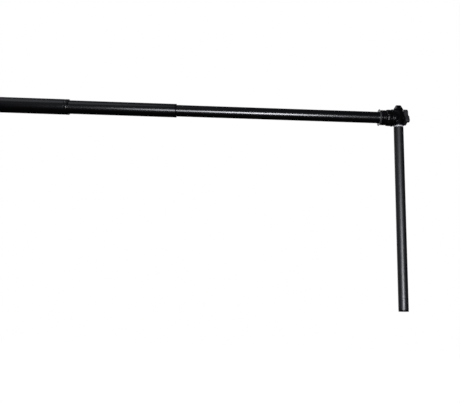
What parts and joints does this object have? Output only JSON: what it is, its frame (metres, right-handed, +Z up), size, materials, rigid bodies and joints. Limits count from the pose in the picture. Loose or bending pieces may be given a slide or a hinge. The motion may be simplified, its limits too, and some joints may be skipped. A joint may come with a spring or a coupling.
{
  "type": "telescoping background crossbar",
  "caption": "Telescoping crossbar for a backdrop, with twist-lock tubes, a clamp fitting at each end and the top section of its stand's post.",
  "frame": {"origin": "centre of the flat underside of the post section's foot plug", "axes": "+Z up the post, -X along the bar from the clamped end to the free end, +Y away from the picture's camera"},
  "size_m": [2.093, 0.0552, 0.5387],
  "materials": {
    "satin_black_tube": "satin black anodised",
    "black_casting": "satin black paint",
    "black_moulding": "fine satin moulding",
    "dark_polished_ring": "dark anodised, turned rim",
    "bright_steel": "bright plated",
    "brass": "turned",
    "pale_nylon": "moulded, natural"
  },
  "bodies": {
    "riser": {"riser_tube": "satin_black_tube", "riser_foot_plug": "black_moulding", "stand_spigot": "bright_steel", "spigot_pin": "bright_steel"},
    "near_elbow": {"near_elbow_body": "black_casting", "near_top_cap": "black_moulding", "near_collet": "pale_nylon", "near_thread_insert": "brass"},
    "near_pad": {"near_clamp_pad": "brass"},
    "near_knob": {"near_clamp_screw": "bright_steel", "near_clamp_knob": "black_moulding"},
    "near_ring": {"near_mouth_ring": "dark_polished_ring"},
    "near_sleeve": {"near_lock_sleeve": "black_moulding"},
    "inner_bar": {"inner_tube": "satin_black_tube", "inner_glide": "pale_nylon", "inner_lock_plug": "black_moulding", "inner_lock_washer": "bright_steel", "inner_lock_screw": "bright_steel", "inner_plug_rivet": "bright_steel"},
    "inner_shoe": {"inner_lock_shoe": "pale_nylon"},
    "middle_bar": {"middle_tube": "satin_black_tube", "middle_mouth_bush": "black_moulding", "middle_glide": "pale_nylon", "middle_lock_plug": "black_moulding", "middle_lock_washer": "bright_steel", "middle_lock_screw": "bright_steel", "middle_plug_rivet": "bright_steel"},
    "middle_shoe": {"middle_lock_shoe": "pale_nylon"},
    "outer_bar": {"outer_tube": "satin_black_tube", "outer_mouth_bush": "black_moulding"},
    "far_elbow": {"far_elbow_body": "black_casting", "far_top_cap": "black_moulding", "far_collet": "pale_nylon", "far_thread_insert": "brass"},
    "far_pad": {"far_clamp_pad": "brass"},
    "far_knob": {"far_clamp_screw": "bright_steel", "far_clamp_knob": "black_moulding"},
    "far_ring": {"far_mouth_ring": "dark_polished_ring"},
    "far_sleeve": {"far_lock_sleeve": "black_moulding"}
  },
  "joints": [
    {"name": "stand_swivel", "type": "hinge", "parent": "riser", "child": "near_elbow", "pos_m": [0, 0, 0.5], "axis": [0, 0, 1], "continuous": true},
    {"name": "near_pad_travel", "type": "slide", "parent": "near_elbow", "child": "near_pad", "axis": [1, 0, 0], "range_m": [0, 0.0025]},
    {"name": "near_knob_turn", "type": "hinge", "parent": "near_pad", "child": "near_knob", "pos_m": [0.02, 0, 0.5], "axis": [1, 0, 0], "range_deg": [0, 720]},
    {"name": "near_ring_travel", "type": "slide", "parent": "near_elbow", "child": "near_ring", "axis": [-1, 0, 0], "range_m": [0, 0.001]},
    {"name": "near_sleeve_twist", "type": "hinge", "parent": "near_ring", "child": "near_sleeve", "pos_m": [-0.03, 0, 0.5], "axis": [-1, 0, 0], "range_deg": [0, 120]},
    {"name": "bar_spin", "type": "hinge", "parent": "near_elbow", "child": "inner_bar", "pos_m": [-0.05, 0, 0.5], "axis": [1, 0, 0], "continuous": true},
    {"name": "inner_lock_twist", "type": "hinge", "parent": "inner_bar", "child": "inner_shoe", "pos_m": [-1.13, 0, 0.5], "axis": [1, 0, 0], "range_deg": [0, 120]},
    {"name": "middle_slide", "type": "slide", "parent": "inner_shoe", "child": "middle_bar", "axis": [-1, 0, 0], "range_m": [-0.5255, 0.3805]},
    {"name": "middle_lock_twist", "type": "hinge", "parent": "middle_bar", "child": "middle_shoe", "pos_m": [-1.72, 0, 0.5], "axis": [1, 0, 0], "range_deg": [0, 120]},
    {"name": "outer_slide", "type": "slide", "parent": "middle_shoe", "child": "outer_bar", "axis": [-1, 0, 0], "range_m": [-0.2715, 0.7005]},
    {"name": "far_spin", "type": "hinge", "parent": "outer_bar", "child": "far_elbow", "pos_m": [-2, 0, 0.5], "axis": [1, 0, 0], "continuous": true},
    {"name": "far_pad_travel", "type": "slide", "parent": "far_elbow", "child": "far_pad", "axis": [-1, 0, 0], "range_m": [0, 0.0025]},
    {"name": "far_knob_turn", "type": "hinge", "parent": "far_pad", "child": "far_knob", "pos_m": [-2.0576, 0, 0.495], "axis": [-1, 0, 0], "range_deg": [0, 720]},
    {"name": "far_ring_travel", "type": "slide", "parent": "far_elbow", "child": "far_ring", "axis": [1, 0, 0], "range_m": [0, 0.001]},
    {"name": "far_sleeve_twist", "type": "hinge", "parent": "far_ring", "child": "far_sleeve", "pos_m": [-2, 0, 0.5], "axis": [1, 0, 0], "range_deg": [0, 120]}
  ],
  "couplings": [
    {"joint": "near_pad_travel", "follows": "near_knob_turn", "m_per_rad": 0.00019894},
    {"joint": "near_ring_travel", "follows": "near_sleeve_twist", "m_per_rad": 0.00047746},
    {"joint": "far_pad_travel", "follows": "far_knob_turn", "m_per_rad": 0.00019894},
    {"joint": "far_ring_travel", "follows": "far_sleeve_twist", "m_per_rad": 0.00047746}
  ]
}
